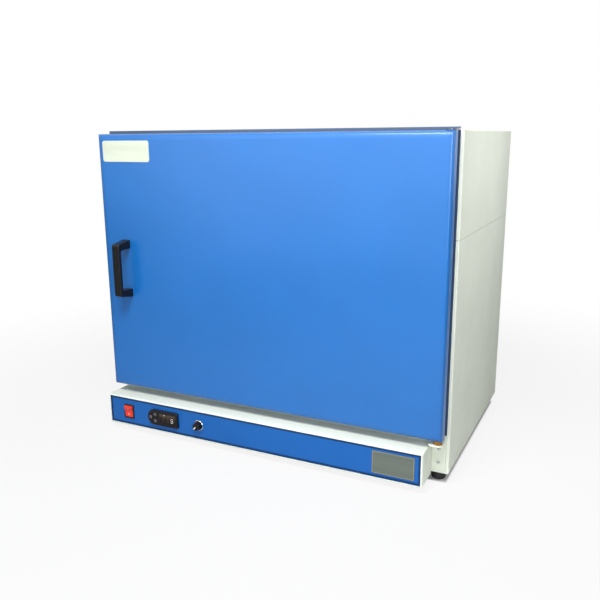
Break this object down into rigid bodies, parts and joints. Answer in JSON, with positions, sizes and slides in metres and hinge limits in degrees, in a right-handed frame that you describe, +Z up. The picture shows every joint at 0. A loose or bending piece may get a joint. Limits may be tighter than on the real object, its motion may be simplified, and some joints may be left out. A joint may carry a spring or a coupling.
{
  "type": "dry heat sterilizer",
  "caption": "Bench dry heat sterilizer: white sheet casing on feet, side-hinged door with a bridge handle, control box under the door, shelves in a steel chamber.",
  "frame": {"origin": "bottom centre of the whole object at rest, door closed; the feet stand on z = 0", "axes": "+X to the right of somebody facing the door, +Y to the back, +Z up"},
  "size_m": [0.772, 0.5844, 0.6685],
  "materials": {
    "white_paint": "fine textured powder coat",
    "blue_paint": "glossy enamel",
    "blue_panel": "satin enamel",
    "dark_enamel": "satin enamel",
    "stainless": "brushed",
    "bright_wire": "polished",
    "heater_sheath": "heat-darkened satin",
    "mineral_wool": "matt fibres",
    "black_plastic": "fine grain",
    "red_plastic": "smooth",
    "pale_key": "smooth",
    "display_window": "smoked, polished",
    "chrome_trim": "polished",
    "brass_washer": "turned",
    "bare_plate": "satin",
    "white_plate": "satin",
    "silicone": "matt",
    "zinc_steel": "zinc plated",
    "foot_rubber": "matt"
  },
  "bodies": {
    "cabinet": {"bracket_screws": "zinc_steel", "catch_magnets": "black_plastic", "control_box": "white_paint", "controller_housing": "black_plastic", "controller_window": "display_window", "door_seal": "silicone", "fascia": "blue_panel", "floor_plate": "stainless", "foot_front_left": "foot_rubber", "foot_front_right": "foot_rubber", "foot_rear_left": "foot_rubber", "foot_rear_right": "foot_rubber", "foot_screws": "zinc_steel", "front_frame": "dark_enamel", "heater_elements": "heater_sheath", "heater_saddles": "stainless", "hinge_bracket_lower": "white_paint", "hinge_bracket_upper": "dark_enamel", "hinge_pins": "zinc_steel", "hinge_washer": "brass_washer", "inlet_pins": "zinc_steel", "inlet_plate": "zinc_steel", "inner_chamber": "stainless", "limiter_ring": "chrome_trim", "limiter_thermostat": "black_plastic", "lower_panel": "white_paint", "lower_shell": "white_paint", "nameplate": "bare_plate", "power_inlet": "black_plastic", "rear_panel": "white_paint", "rear_screws": "zinc_steel", "rocker_bezel": "black_plastic", "seam_strips": "zinc_steel", "sensor_sheaths": "stainless", "shelf_racks": "stainless", "solid_state_relay": "black_plastic", "support_tray": "zinc_steel", "terminal_block": "black_plastic", "upper_cover": "white_paint", "vent_plate": "zinc_steel", "vent_tube": "stainless", "wire_shelf_lower": "bright_wire", "wire_shelf_upper": "bright_wire", "wool_back": "mineral_wool", "wool_sides": "mineral_wool", "wool_slabs": "mineral_wool"},
    "door": {"door_pan": "blue_paint", "door_inner_panel": "stainless", "door_wool": "mineral_wool", "hinge_blocks": "zinc_steel", "door_handle": "black_plastic", "handle_screws": "zinc_steel", "door_plate": "white_plate", "catch_strikes": "zinc_steel"},
    "power_rocker": {"rocker": "red_plastic"},
    "set_key": {"key_set": "pale_key"},
    "up_key": {"key_up": "pale_key"},
    "down_key": {"key_down": "pale_key"},
    "limiter_dial": {"limiter_knob": "black_plastic", "limiter_shaft": "zinc_steel"}
  },
  "joints": [
    {"name": "door_hinge", "type": "hinge", "parent": "cabinet", "child": "door", "pos_m": [0.37, -0.2422, 0.382], "axis": [0, 0, 1], "range_deg": [0, 180]},
    {"name": "power_rocker_tilt", "type": "hinge", "parent": "cabinet", "child": "power_rocker", "pos_m": [-0.331, -0.27342, 0.0495], "axis": [1, 0, 0], "range_deg": [-20, 0]},
    {"name": "set_key_press", "type": "slide", "parent": "cabinet", "child": "set_key", "axis": [0, 1, 0], "range_m": [0, 0.0006], "stiffness_N_per_m": 1900},
    {"name": "up_key_press", "type": "slide", "parent": "cabinet", "child": "up_key", "axis": [0, 1, 0], "range_m": [0, 0.0006], "stiffness_N_per_m": 1900},
    {"name": "down_key_press", "type": "slide", "parent": "cabinet", "child": "down_key", "axis": [0, 1, 0], "range_m": [0, 0.0006], "stiffness_N_per_m": 1900},
    {"name": "limiter_dial_turn", "type": "hinge", "parent": "cabinet", "child": "limiter_dial", "pos_m": [-0.143, -0.282, 0.0495], "axis": [0, 1, 0], "range_deg": [0, 270]}
  ]
}
